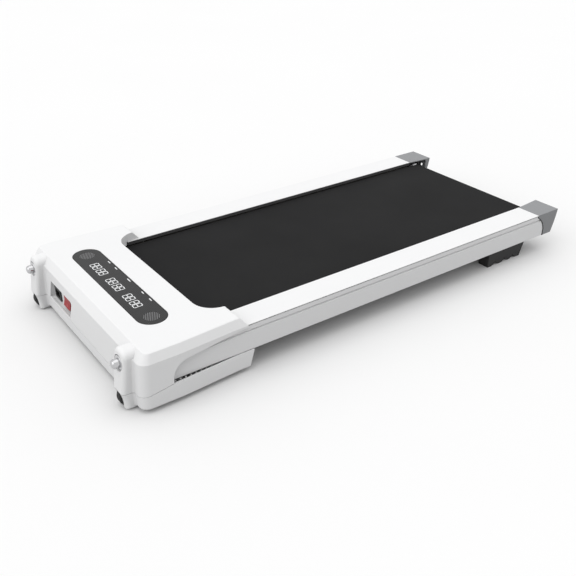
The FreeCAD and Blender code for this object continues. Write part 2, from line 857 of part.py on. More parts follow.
def drive_belt():
    inset = pulley_rim + run_gap
    a = (front_axis, axis_height)
    b = (motor_y, motor_height)
    x0 = pulley_x + inset
    x1 = pulley_x + pulley_width - inset
    grow = run_gap + drive_thick
    outer = side_prism(band(b, motor_pulley_radius + grow, a, pulley_radius + grow), x0, x1)
    inner = band(b, motor_pulley_radius + run_gap, a, pulley_radius + run_gap)
    return outer.cut(side_prism(inner, x0, x1))


def motor_case():
    stop = motor_start + motor_length
    at = (motor_start, motor_y, motor_height)
    can = rod(at, (1, 0, 0), motor_radius, motor_length)
    hollow = rod((motor_start + end_bell, motor_y, motor_height), (1, 0, 0), motor_radius - motor_wall,
                 stop - motor_start - 2 * end_bell)
    bore = rod(at, (1, 0, 0), motor_shaft_radius + fit_gap, motor_length)
    return can.cut([hollow, bore])


def motor_armature():
    start = motor_start + end_bell + armature_gap
    return ring((start, motor_y, motor_height), (1, 0, 0), motor_radius - motor_wall - armature_gap,
                motor_shaft_radius + fit_gap, motor_length - 2 * (end_bell + armature_gap))


def motor_shaft():
    start = motor_start - armature_gap
    return rod((start, motor_y, motor_height), (1, 0, 0), motor_shaft_radius,
               pulley_x + pulley_width - start)


def motor_flywheel():
    start = motor_start + motor_length + armature_gap
    return ring((start, motor_y, motor_height), (1, 0, 0), flywheel_radius, motor_shaft_radius + fit_gap,
                flywheel_width)


def motor_saddle():
    middle = motor_start + motor_length / 2
    low = motor_height - motor_radius
    base = block(*across(middle, saddle_length), *across(motor_y, 2 * motor_radius - 2),
                 pan_floor, low + saddle_rise)
    return base.cut(rod((0, motor_y, motor_height), (1, 0, 0), motor_radius + fit_gap, rail_outer))


def motor_controller():
    wide, deep, base = controller_size
    y = hood_front + controller_setback
    plate = block(*across(controller_centre, wide), *across(y, deep), pan_floor, pan_floor + base)
    fins = []
    step = (wide - fin_thick) / (fin_count - 1)
    for i in range(fin_count):
        x = controller_centre - wide / 2 + step * i
        fins.append(block(x, x + fin_thick, *across(y, deep), pan_floor, pan_floor + base + fin_height))
    return plate.fuse(fins).removeSplitter()


def grille_places():
    return [(-grille_x, lens_y), (grille_x, lens_y)]


def display_lens():
    lens = plan_prism(stadium(lens_length, lens_width, 0, lens_y), lens_bottom, lens_bottom + lens_thick)
    slots = []
    pitch = 2 * grille_radius / grille_slots
    for x, y in grille_places():
        for i in range(grille_slots):
            off = pitch * (i - (grille_slots - 1) / 2)
            reach = math.sqrt(grille_radius ** 2 - off ** 2)
            slot = block(-reach, reach, *across(off, slot_width), lens_bottom - 1, hood_top)
            slot.rotate(V(0, 0, 0), V(0, 0, 1), slot_turn)
            slot.translate(V(x, y, 0))
            slots.append(slot)
    return lens.cut(slots)


def display_board():
    top = lens_bottom - board_drop
    wide = lens_width - 2 * lens_ledge - 2 * board_thick
    return block(*across(0, board_length), *across(lens_y, wide), top - board_thick, top)


def digit_modules():
    low = lens_bottom - board_drop
    modules = []
    for i in range(digit_groups):
        x = (module_length + module_gap) * (i - (digit_groups - 1) / 2)
        modules.append(block(*across(x, module_length), *across(lens_y, digit_depth),
                             low, lens_bottom - seat_gap))
    return Part.Compound(modules)


def speakers():
    low = lens_bottom - seat_gap - speaker_height
    return Part.Compound([rod((x, y, low), (0, 0, 1), speaker_radius, speaker_height)
                          for x, y in grille_places()])


def inlet_housing():
    wide, tall = inlet_size
    flange = block(*across(inlet_centre, wide), panel_y - inlet_stand, panel_y, *across(inlet_z, tall))
    body = block(*across(inlet_centre, wide - 4 - 2 * seat_gap), panel_y, panel_y + inlet_depth,
                 *across(inlet_z, tall - 4 - 2 * seat_gap))
    mouth = block(*across(inlet_centre, inlet_mouth[0]), panel_y - inlet_stand - 1,
                  panel_y + inlet_depth - 4, *across(inlet_z, inlet_mouth[1]))
    return flange.fuse(body).cut([mouth, inlet_pins()]).removeSplitter()


def inlet_pins():
    pins = []
    for i, drop in ((-1, 0), (0, 2), (1, 0)):
        x = inlet_centre + i * pin_spread
        z = inlet_z + 1 - drop
        pins.append(block(*across(x, pin_size[0]), panel_y - inlet_stand + pin_short,
                          panel_y + inlet_depth - 1, *across(z, pin_size[1])))
    return Part.Compound(pins)


def rocker_frame():
    wide, tall = frame_size
    flange = block(*across(rocker_centre, wide), panel_y - frame_stand, panel_y, *across(power_z, tall))
    body = block(*across(rocker_centre, wide - 4 - 2 * seat_gap), panel_y, panel_y + frame_depth,
                 *across(power_z, tall - 4 - 2 * seat_gap))
    hollow_wide, hollow_tall = frame_hollow()
    hollow = block(*across(rocker_centre, hollow_wide), panel_y - frame_stand - 1,
                   panel_y + frame_depth - frame_wall, *across(power_z, hollow_tall))
    pivot = rod((rocker_centre - hollow_wide / 2 - frame_wall / 2, rocker_axis(), power_z), (1, 0, 0),
                rocker_pin + fit_gap, hollow_wide + frame_wall)
    return flange.fuse(body).cut([hollow, pivot]).removeSplitter()


def frame_hollow():
    rim = 4 + 2 * seat_gap + 2 * frame_wall
    return frame_size[0] - rim, frame_size[1] - rim


def rocker_axis():
    return panel_y + frame_depth / 3


# A shallow vee with its pivot pin, resting in the off position
def power_rocker():
    wide, tall = frame_hollow()
    half = tall / 2 - rocker_sway
    tip = panel_y - frame_stand - rocker_stand
    back = rocker_axis() + 2 * rocker_pin
    key = side_prism([
        (tip, power_z + half), (tip + rocker_stand / 2, power_z), (tip, power_z - half),
        (rocker_axis(), power_z - half), (back, power_z - rocker_pin), (back, power_z + rocker_pin),
        (rocker_axis(), power_z + half)], *across(rocker_centre, wide - 2 * rocker_gap))
    pin_half = wide / 2 + frame_wall / 2 - rocker_gap / 2
    pin = rod((rocker_centre - pin_half, rocker_axis(), power_z), (1, 0, 0), rocker_pin, 2 * pin_half)
    key = key.fuse(pin)
    key.rotate(V(rocker_centre, rocker_axis(), power_z), V(1, 0, 0), -rocker_rest_tilt)
    return key.removeSplitter()


def wheel_tyre():
    at = (lug_centre - wheel_width / 2, wheel_y, wheel_z)
    tyre = rod(at, (1, 0, 0), wheel_radius, wheel_width)
    tyre = tyre.makeFillet(wheel_round, [e for e in tyre.Edges if e.Curve.TypeId == "Part::GeomCircle"])
    return tyre.cut(rod(at, (1, 0, 0), hub_radius + fit_gap, wheel_width))


def wheel_hub():
    start = (lug_centre - wheel_width / 2, wheel_y, wheel_z)
    return ring(start, (1, 0, 0), hub_radius, axle_radius + fit_gap, wheel_width)


def wheel_axle():
    return rod((lug_centre - axle_reach, wheel_y, wheel_z), (1, 0, 0), axle_radius, 2 * axle_reach)


def lug_bolt():
    seat = hood_front - bolt_seat_ahead
    head_reach = seat - front_end
    head = lug_bolt_axis(seat, bolt_head_radius, head_reach)
    head = head.makeFillet(bolt_head_round, edges_near(head, lambda p: p.y < front_end + 1e-3))
    flange = lug_bolt_axis(seat, bolt_flange_radius, bolt_flange_thick)
    flange = flange.makeFillet(bolt_flange_thick / 3,
                               edges_near(flange, lambda p: p.y < seat - bolt_flange_thick + 1e-3))
    shank = lug_bolt_axis(hood_front, bolt_shank_radius, bolt_seat_ahead)
    return head.fuse([flange, shank]).removeSplitter()


# Side view of a rear cap: round front edge, slanted and slightly bowed rear edge
def cap_steps(grow):
    start = cap_front - grow
    under = start + cap_side_setback
    tail = rear_end - cap_tail_slant
    return [(start, rail_top + grow), (rear_end, rail_top + grow),
            ((rear_end - cap_tail_slant * 0.36, rail_top - rail_height * 0.47), (tail, rail_bottom)),
            (tail, rail_bottom - grow), (under, rail_bottom - grow),
            (under, rail_bottom + rail_height * 0.3),
            ((under - cap_side_setback * 0.22, rail_bottom + rail_height * 0.56),
             (start, rail_top - rail_height * 0.1))]


def cap_outline(grow):
    return side_prism(cap_steps(grow), 0, rail_outer + 1)


def rear_cap():
    cap = side_prism(cap_steps(0), rail_inner - cap_flare, rail_outer)
    cap = cap.common(plan_prism([(rail_inner, cap_front), (rail_outer, cap_front), (rail_outer, rear_end),
                                 (rail_inner - cap_flare, rear_end)], rail_bottom, rail_top))
    tail = rear_end - cap_wall
    high = rail_top - cap_wall
    low = rail_bottom + cap_wall
    hollow_steps = [
        (cap_front - 1, high), (tail, high),
        ((tail - cap_tail_slant * 0.36, high - rail_height * 0.47), (tail - cap_tail_slant, low)),
        (cap_front - 1, low)]
    lip = rear_end - cap_lip
    lip_side = rail_inner - cap_flare + cap_lip_wall
    bite = cap_lip_round * (1 - math.sqrt(0.5))
    mouth = side_prism([
        (cap_front - 1, low), (lip, low), (lip, high - cap_lip_round),
        ((lip - bite, high - bite), (lip - cap_lip_round, high)), (cap_front - 1, high)],
        rail_inner - cap_flare - 1, lip_side)
    mouth = mouth.common(side_prism(hollow_steps, rail_inner - cap_flare - 1, lip_side))
    hollow = side_prism(hollow_steps, lip_side, rail_outer - cap_wall)
    key_hole = rod((tension_x, rear_axis, tension_z), (0, 1, 0), key_radius, cap_length)
    return cap.cut([hollow, mouth, key_hole, cap_screw_hole()]).removeSplitter()


# Dark seal in the gap between the rail's end and the cap
def cap_seal():
    side = (rail_outer - seal_depth, rail_outer + seal_proud)
    seal = side_prism(cap_steps(cap_seam - run_gap), *side).cut(side_prism(cap_steps(run_gap), *side))
    return seal.common(block(*side, cap_front - cap_seam, cap_front + cap_side_setback,
                             rail_bottom, joint_low))


def cap_screw_hole():
    place = (foot_x(), rear_end - cap_screw_setback, 0)
    return rod(place, (0, 0, 1), screw_radius + fit_gap, axis_height)


def cap_screws():
    reach = channel_bottom + channel_thick - rail_bottom + screw_head_height
    screw = screw_up(foot_x(), rear_end - cap_screw_setback, rail_bottom - screw_head_height, reach)
    return Part.Compound(both(screw))


def tension_block():
    wide, deep, tall = block_size
    body = block(*across(tension_x, wide - 2 * seat_gap), *across(rear_axis + roller_axle / 2, deep),
                 *across(axis_height + tension_rise / 2, tall))
    start = rear_axis + roller_axle + 1
    thread = rod((tension_x, start, tension_z), (0, 1, 0), tension_radius + fit_gap, deep)
    bore = rod((0, rear_axis, axis_height), (1, 0, 0), roller_axle + fit_gap, rail_outer)
    return body.cut([thread, bore])


def tension_bolt():
    start = rear_axis + roller_axle + 2
    seat = plate_y + plate_thick + seat_gap
    shank = rod((tension_x, start, tension_z), (0, 1, 0), tension_radius, seat - start + 1)
    head = rod((tension_x, seat, tension_z), (0, 1, 0), tension_head, tension_head_length)
    socket_start = seat + tension_head_length / 2
    socket = rod((tension_x, socket_start, tension_z), (0, 1, 0), key_socket, tension_head_length)
    return shank.fuse(head).cut(socket).removeSplitter()


def foot_x():
    return rail_outer - rear_foot_inset - rear_foot_width / 2


def foot_rear():
    return rear_end - rear_foot_setback


def foot_screw_places():
    return [foot_rear() - rear_foot_length + foot_screw_inset, foot_rear() - foot_screw_inset]


def rear_foot():
    tail = foot_rear()
    nose = tail - rear_foot_length
    x = foot_x()
    steps = [(nose, rail_bottom), (nose, 0)]
    rise = lobe_rise_share * rear_foot_length
    back = lobe_back_share * rear_foot_length
    ahead = lobe_front_share * rear_foot_length
    back_run, back_rise = ease(back, rise)
    ahead_run, ahead_rise = ease(ahead, rise)
    for share in notch_places:
        y = nose + share * rear_foot_length
        steps += [(y - back, 0), ((y - back + back_run, back_rise), (y, rise)),
                  ((y + ahead - ahead_run, ahead_rise), (y + ahead, 0))]
    steps += [(tail - rear_foot_taper, 0), (tail, rail_bottom)]
    body = side_prism(steps, *across(x, rear_foot_width))
    cuts = []
    for y in foot_screw_places():
        cuts.append(rod((x, y, 0), (0, 0, 1), screw_radius + fit_gap, rail_bottom))
        cuts.append(rod((x, y, 0), (0, 0, 1), screw_head + fit_gap, rail_bottom / 2 + screw_head_height))
    return body.cut(cuts)


def foot_screws():
    reach = rail_bottom / 2 + flange_thick + channel_thick
    screws = [screw_up(foot_x(), y, rail_bottom / 2, reach) for y in foot_screw_places()]
    return Part.Compound(screws + [mirrored(s) for s in screws])


def front_pads():
    pads = []
    for x in (-pad_x, pad_x):
        for s in pad_setbacks:
            pad = rod((x, hood_front + s, 0), (0, 0, 1), pad_radius, pan_clearance)
            pads.append(pad)
    return Part.Compound(pads)


def name_pair(name, shape):
    return {"left_" + name: shape, "right_" + name: mirrored(shape)}


nodes = {
    "hood_cover": hood_cover(),
    "base_pan": base_pan(),
    "pan_screws": pan_screws(),
    "cross_tubes": cross_tubes(),
    "deck_board": deck_board(),
    "deck_cushions": deck_cushions(),
    "deck_screws": deck_screws(),
    "walking_belt": walking_belt(),
    "front_roller_tube": roller_tube(front_axis),
    "front_roller_bearings": roller_bearings(front_axis),
    "front_roller_axle": front_roller_axle(),
    "front_roller_pulley": roller_pulley(),
    "rear_roller_tube": roller_tube(rear_axis),
    "rear_roller_bearings": roller_bearings(rear_axis),
    "rear_roller_axle": rear_roller_axle(),
    "drive_belt": drive_belt(),
    "motor_case": motor_case(),
    "motor_armature": motor_armature(),
    "motor_shaft": motor_shaft(),
    "motor_flywheel": motor_flywheel(),
    "motor_pulley": pulley(motor_y, motor_height, motor_pulley_radius, motor_shaft_radius + fit_gap),
    "motor_saddle": motor_saddle(),
    "motor_controller": motor_controller(),
    "display_lens": display_lens(),
    "display_board": display_board(),
    "digit_modules": digit_modules(),
    "speakers": speakers(),
    "inlet_housing": inlet_housing(),
    "inlet_pins": inlet_pins(),
    "rocker_frame": rocker_frame(),
    "power_rocker": power_rocker(),
    "lug_bolts": Part.Compound(both(lug_bolt())),
    "wheel_axles": Part.Compound(both(wheel_axle())),
    "foot_screws": foot_screws(),
    "cap_screws": cap_screws(),
    "front_pads": front_pads(),
}
nodes.update(name_pair("side_rail", side_rail()))
nodes.update(name_pair("rail_cover", rail_cover()))
nodes.update(name_pair("belt_guard", belt_guard()))
nodes.update(name_pair("frame_channel", frame_channel()))
nodes.update(name_pair("wheel_tyre", wheel_tyre()))
nodes.update(name_pair("wheel_hub", wheel_hub()))
nodes.update(name_pair("rear_cap", rear_cap()))
nodes.update(name_pair("cap_seal", cap_seal()))
nodes.update(name_pair("tension_block", tension_block()))
nodes.update(name_pair("tension_bolt", tension_bolt()))
nodes.update(name_pair("rear_foot", rear_foot()))

os.makedirs("parts", exist_ok=True)
for name, shape in nodes.items():
    shape.exportStep("parts/" + name + ".step")
    print(name, len(shape.Solids), "solids", round(shape.Volume / 1000, 1), "cm3", shape.isValid())
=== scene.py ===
import json
import math

import bmesh
import bpy
import numpy as np
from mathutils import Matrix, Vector


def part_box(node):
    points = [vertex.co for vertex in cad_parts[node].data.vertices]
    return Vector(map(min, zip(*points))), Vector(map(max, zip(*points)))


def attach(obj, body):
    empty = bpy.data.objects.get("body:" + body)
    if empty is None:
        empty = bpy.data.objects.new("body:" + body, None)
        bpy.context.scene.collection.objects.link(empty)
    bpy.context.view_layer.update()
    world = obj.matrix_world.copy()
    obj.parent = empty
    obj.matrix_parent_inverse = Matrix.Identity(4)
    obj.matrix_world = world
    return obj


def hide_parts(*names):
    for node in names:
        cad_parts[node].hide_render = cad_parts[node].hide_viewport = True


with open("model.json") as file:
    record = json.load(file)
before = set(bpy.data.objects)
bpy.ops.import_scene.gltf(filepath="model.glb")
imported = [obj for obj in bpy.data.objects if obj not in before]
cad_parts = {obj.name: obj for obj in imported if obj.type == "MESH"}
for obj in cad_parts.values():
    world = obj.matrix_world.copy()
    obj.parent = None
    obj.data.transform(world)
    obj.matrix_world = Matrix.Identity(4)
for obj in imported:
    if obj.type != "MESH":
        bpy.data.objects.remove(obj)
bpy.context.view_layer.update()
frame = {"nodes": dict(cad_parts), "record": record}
nodes = frame["nodes"]
scene = bpy.context.scene
print("frame loaded:", len(nodes), "nodes")


# Node helpers: one material or group tree at a time
def addNode(tree, kind, **inputs):
    node = tree.nodes.new(kind)
    for name, value in inputs.items():
        node.inputs[name.replace("_", " ")].default_value = value
    return node


def mathNode(tree, operation, first, second=None):
    node = tree.nodes.new("ShaderNodeMath")
    node.operation = operation
    for socket, value in zip(node.inputs, (first, second)):
        if isinstance(value, (int, float)):
            socket.default_value = value
        elif value is not None:
            tree.links.new(value, socket)
    return node.outputs[0]


def spread(tree, value, low, high, fromLow=0.0, fromHigh=1.0):
    node = addNode(tree, "ShaderNodeMapRange", From_Min=fromLow, From_Max=fromHigh, To_Min=low, To_Max=high)
    tree.links.new(value, node.inputs["Value"])
    return node.outputs["Result"]


def blendColour(tree, factor, first, second):
    node = tree.nodes.new("ShaderNodeMix")
    node.data_type = "RGBA"
    tree.links.new(factor, node.inputs["Factor"])
    colourSockets = [s for s in node.inputs if s.type == "RGBA"]
    for socket, colour in zip(colourSockets, (first, second)):
        if isinstance(colour, tuple):
            socket.default_value = (*colour, 1.0)
        else:
            tree.links.new(colour, socket)
    return [s for s in node.outputs if s.type == "RGBA"][0]


def newGroup(name, inputs, outputs):
    group = bpy.data.node_groups.new(name, "ShaderNodeTree")
    for label, value in inputs.items():
        socket = group.interface.new_socket(label, in_out="INPUT", socket_type="NodeSocketFloat")
        socket.default_value = value
    for label in outputs:
        group.interface.new_socket(label, in_out="OUTPUT", socket_type="NodeSocketFloat")
    entry = group.nodes.new("NodeGroupInput")
    leave = group.nodes.new("NodeGroupOutput")
    place = group.nodes.new("ShaderNodeTexCoord").outputs["Object"]
    return group, entry.outputs, leave.inputs, place


def noiseOf(tree, place, scale, detail):
    node = addNode(tree, "ShaderNodeTexNoise", Detail=detail)
    tree.links.new(place, node.inputs["Vector"])
    if isinstance(scale, (int, float)):
        node.inputs["Scale"].default_value = scale
    else:
        tree.links.new(scale, node.inputs["Scale"])
    return node.outputs["Fac"]


# Moulded grain: fine noise for the skin, slow noise for the cast
def makeFineGrain():
    group, entry, leave, place = newGroup("fineGrain", {"Grain Scale": 900.0, "Cloud Scale": 9.0},
                                          ("Grain", "Cloud", "Height"))
    grain = noiseOf(group, place, entry["Grain Scale"], detail=3.0)
    cloud = noiseOf(group, place, entry["Cloud Scale"], detail=2.0)
    group.links.new(grain, leave["Grain"])
    group.links.new(cloud, leave["Cloud"])
    group.links.new(grain, leave["Height"])
    return group


# Drawn metal: noise stretched along the length of the part
def makeLengthBrush():
    group, entry, leave, place = newGroup("lengthBrush", {"Across": 1400.0, "Along": 14.0},
                                          ("Streak", "Height"))
    stretch = group.nodes.new("ShaderNodeCombineXYZ")
    group.links.new(entry["Across"], stretch.inputs["X"])
    group.links.new(entry["Along"], stretch.inputs["Y"])
    group.links.new(entry["Across"], stretch.inputs["Z"])
    scaled = group.nodes.new("ShaderNodeVectorMath")
    scaled.operation = "MULTIPLY"
    group.links.new(place, scaled.inputs[0])
    group.links.new(stretch.outputs[0], scaled.inputs[1])
    streak = noiseOf(group, scaled.outputs[0], scale=1.0, detail=3.0)
    group.links.new(streak, leave["Streak"])
    group.links.new(streak, leave["Height"])
    return group


# Turned metal: rings that step along X, broken by a little noise
def makeTurnedRings():
    group, entry, leave, place = newGroup("turnedRings", {"Rings": 2600.0, "Spots": 500.0},
                                          ("Ring", "Spot", "Height"))
    split = group.nodes.new("ShaderNodeSeparateXYZ")
    group.links.new(place, split.inputs[0])
    stepped = group.nodes.new("ShaderNodeCombineXYZ")
    group.links.new(mathNode(group, "MULTIPLY", split.outputs["X"], entry["Rings"]), stepped.inputs["X"])
    ring = noiseOf(group, stepped.outputs[0], scale=1.0, detail=2.0)
    spot = noiseOf(group, place, entry["Spots"], detail=2.0)
    group.links.new(ring, leave["Ring"])
    group.links.new(spot, leave["Spot"])
    group.links.new(ring, leave["Height"])
    return group


# Crossing threads: sin(k(x+y)) times sin(k(x-y)), from -1 to 1, brought to 0 to 1
def makeThreadCross():
    group, entry, leave, place = newGroup("threadCross", {"Threads": 1200.0}, ("Thread", "Height"))
    split = group.nodes.new("ShaderNodeSeparateXYZ")
    group.links.new(place, split.inputs[0])
    one = mathNode(group, "ADD", split.outputs["X"], split.outputs["Y"])
    other = mathNode(group, "SUBTRACT", split.outputs["X"], split.outputs["Y"])
    waves = [mathNode(group, "SINE", mathNode(group, "MULTIPLY", way, entry["Threads"]))
             for way in (one, other)]
    thread = spread(group, mathNode(group, "MULTIPLY", *waves), 0.0, 1.0, -1.0, 1.0)
    group.links.new(thread, leave["Thread"])
    group.links.new(thread, leave["Height"])
    return group


fineGrain = makeFineGrain()
lengthBrush = makeLengthBrush()
turnedRings = makeTurnedRings()
threadCross = makeThreadCross()


def placeGroup(tree, group, **inputs):
    node = tree.nodes.new("ShaderNodeGroup")
    node.node_tree = group
    for name, value in inputs.items():
        node.inputs[name.replace("_", " ")].default_value = value
    return node.outputs


def newMaterial(name, metallic=0.0, specular=0.5):
    material = bpy.data.materials.new(name)
    material.use_nodes = True
    tree = material.node_tree
    skin = tree.nodes["Principled BSDF"]
    skin.inputs["Metallic"].default_value = metallic
    skin.inputs["Specular IOR Level"].default_value = specular
    return material, tree, skin


def addBump(tree, skin, height, strength, distance):
    bump = addNode(tree, "ShaderNodeBump", Strength=strength, Distance=distance)
    tree.links.new(height, bump.inputs["Height"])
    tree.links.new(bump.outputs["Normal"], skin.inputs["Normal"])


# Pale pieces throw back less light than they show, which keeps the creases and the floor below them dark
def paint(tree, skin, colour, bounce):
    if bounce:
        path = tree.nodes.new("ShaderNodeLightPath").outputs
        colour = blendColour(tree, path["Is Diffuse Ray"], colour, bounce)
    tree.links.new(colour, skin.inputs["Base Color"])


# Plastic, rubber and paint: colour drifts with the cast, roughness with the grain
def grainFinish(name, shade, light, rough, grain=900.0, cloud=9.0, bump=0.15, depth=0.0001, specular=0.5,
                bounce=None):
    material, tree, skin = newMaterial(name, specular=specular)
    out = placeGroup(tree, fineGrain, Grain_Scale=grain, Cloud_Scale=cloud)
    paint(tree, skin, blendColour(tree, out["Cloud"], shade, light), bounce)
    tree.links.new(spread(tree, out["Grain"], *rough), skin.inputs["Roughness"])
    addBump(tree, skin, out["Height"], bump, depth)
    return material


# Drawn or extruded metal
def brushFinish(name, shade, light, rough, across=1400.0, along=14.0, bump=0.06, depth=0.00005, metallic=1.0,
                specular=0.5, bounce=None):
    material, tree, skin = newMaterial(name, metallic, specular)
    out = placeGroup(tree, lengthBrush, Across=across, Along=along)
    paint(tree, skin, blendColour(tree, out["Streak"], shade, light), bounce)
    tree.links.new(spread(tree, out["Streak"], *rough), skin.inputs["Roughness"])
    addBump(tree, skin, out["Height"], bump, depth)
    return material


# Turned metal on an axle, roller or pulley
def turnedFinish(name, shade, light, rough, rings=2600.0, spots=500.0, bump=0.08, depth=0.00005,
                 metallic=1.0):
    material, tree, skin = newMaterial(name, metallic)
    out = placeGroup(tree, turnedRings, Rings=rings, Spots=spots)
    tree.links.new(blendColour(tree, out["Spot"], shade, light), skin.inputs["Base Color"])
    tree.links.new(spread(tree, out["Ring"], *rough), skin.inputs["Roughness"])
    addBump(tree, skin, out["Height"], bump, depth)
    return material


beltLook = {"valley": (0.0125, 0.0125, 0.013), "crest": (0.027, 0.027, 0.0275), "threads": 1100.0,
            "rough": (0.62, 0.8), "grain": 1500.0, "cloud": 7.0, "mix": (0.2, 1.8), "bump": 0.25,
            "depth": 0.0002, "specular": 0.05}


# Coated belt: crossing emboss, with the cast drifting along it
def beltFinish(look):
    material, tree, skin = newMaterial("beltCoat", specular=look["specular"])
    weave = placeGroup(tree, threadCross, Threads=look["threads"])
    grain = placeGroup(tree, fineGrain, Grain_Scale=look["grain"], Cloud_Scale=look["cloud"])
    mask = spread(tree, mathNode(tree, "ADD", weave["Thread"], grain["Cloud"]), 0.0, 1.0, *look["mix"])
    tree.links.new(blendColour(tree, mask, look["valley"], look["crest"]), skin.inputs["Base Color"])
    tree.links.new(spread(tree, grain["Grain"], *look["rough"]), skin.inputs["Roughness"])
    height = mathNode(tree, "ADD", weave["Height"], grain["Height"])
    addBump(tree, skin, height, look["bump"], look["depth"])
    return material


lensLook = {"dark": (0.012, 0.0122, 0.0125), "dot": (0.041, 0.041, 0.042), "threads": 980.0,
            "rough": (0.3, 0.42), "border": 0.0022, "grain": 420.0, "cloud": 30.0, "mix": (0.65, 1.35),
            "bump": 0.05, "depth": 0.00005, "specular": 0.2}


# Smoked lens: printed mesh, with a plain dark border at its stadium edge
def lensFinish(look):
    material, tree, skin = newMaterial("lensSmoke", specular=look["specular"])
    mesh = placeGroup(tree, threadCross, Threads=look["threads"])
    grain = placeGroup(tree, fineGrain, Grain_Scale=look["grain"], Cloud_Scale=look["cloud"])
    dots = spread(tree, mathNode(tree, "ADD", mesh["Thread"], grain["Grain"]), 0.0, 1.0, *look["mix"])
    place = tree.nodes.new("ShaderNodeTexCoord").outputs["Object"]
    split = tree.nodes.new("ShaderNodeSeparateXYZ")
    tree.links.new(place, split.inputs[0])
    low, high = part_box("display_lens")
    radius = (high.y - low.y) / 2
    past = mathNode(tree, "SUBTRACT", mathNode(tree, "ABSOLUTE", split.outputs["X"]), high.x - radius)
    past = mathNode(tree, "MAXIMUM", past, 0.0)
    side = mathNode(tree, "SUBTRACT", split.outputs["Y"], (low.y + high.y) / 2)
    reach = mathNode(tree, "SQRT", mathNode(tree, "ADD", mathNode(tree, "MULTIPLY", past, past),
                                            mathNode(tree, "MULTIPLY", side, side)))
    inside = mathNode(tree, "LESS_THAN", reach, radius - look["border"])
    tree.links.new(blendColour(tree, mathNode(tree, "MULTIPLY", dots, inside), look["dark"], look["dot"]),
                   skin.inputs["Base Color"])
    tree.links.new(spread(tree, grain["Grain"], *look["rough"]), skin.inputs["Roughness"])
    addBump(tree, skin, mesh["Height"], look["bump"], look["depth"])
    return material


clothLook = {"gap": (0.1, 0.1, 0.1), "yarn": (0.55, 0.55, 0.56), "threads": 3200.0, "rough": (0.95, 0.75),
             "bump": 0.4, "depth": 0.0002, "specular": 0.2}


# Speaker cloth: pale yarns with dark gaps
def clothFinish(look):
    material, tree, skin = newMaterial("speakerCloth", specular=look["specular"])
    weave = placeGroup(tree, threadCross, Threads=look["threads"])
    tree.links.new(blendColour(tree, weave["Thread"], look["gap"], look["yarn"]), skin.inputs["Base Color"])
    tree.links.new(spread(tree, weave["Thread"], *look["rough"]), skin.inputs["Roughness"])
    addBump(tree, skin, weave["Height"], look["bump"], look["depth"])
    return material


woodLook = {"dark": (0.03, 0.028, 0.026), "light": (0.085, 0.08, 0.075), "plies": 420.0, "across": 500.0,
            "along": 20.0, "rough": (0.5, 0.75), "mix": (-1.0, 2.0), "bump": 0.1, "depth": 0.0001,
            "specular": 0.3}


# Laminated deck: plies stacked in Z, fibres run along Y
def woodFinish(look):
    material, tree, skin = newMaterial("deckPly", specular=look["specular"])
    fibre = placeGroup(tree, lengthBrush, Across=look["across"], Along=look["along"])
    place = tree.nodes.new("ShaderNodeTexCoord").outputs["Object"]
    split = tree.nodes.new("ShaderNodeSeparateXYZ")
    tree.links.new(place, split.inputs[0])
    ply = mathNode(tree, "SINE", mathNode(tree, "MULTIPLY", split.outputs["Z"], look["plies"] * 2 * math.pi))
    mask = spread(tree, mathNode(tree, "ADD", ply, fibre["Streak"]), 0.0, 1.0, *look["mix"])
    tree.links.new(blendColour(tree, mask, look["dark"], look["light"]), skin.inputs["Base Color"])
    tree.links.new(spread(tree, fibre["Streak"], *look["rough"]), skin.inputs["Roughness"])
    addBump(tree, skin, fibre["Height"], look["bump"], look["depth"])
    return material


glowLook = {"shade": (0.78, 0.79, 0.8), "light": (0.86, 0.87, 0.88), "rough": (0.35, 0.5), "grain": 1200.0,
            "cloud": 60.0, "bump": 0.03, "glow": 0.12}


# Lit segments on the lens: white, a little uneven, faintly glowing
def glowFinish(look):
    material = grainFinish("segmentGlow", look["shade"], look["light"], look["rough"], grain=look["grain"],
                           cloud=look["cloud"], bump=look["bump"])
    skin = material.node_tree.nodes["Principled BSDF"]
    skin.inputs["Emission Color"].default_value = (1.0, 1.0, 1.0, 1.0)
    skin.inputs["Emission Strength"].default_value = look["glow"]
    return material


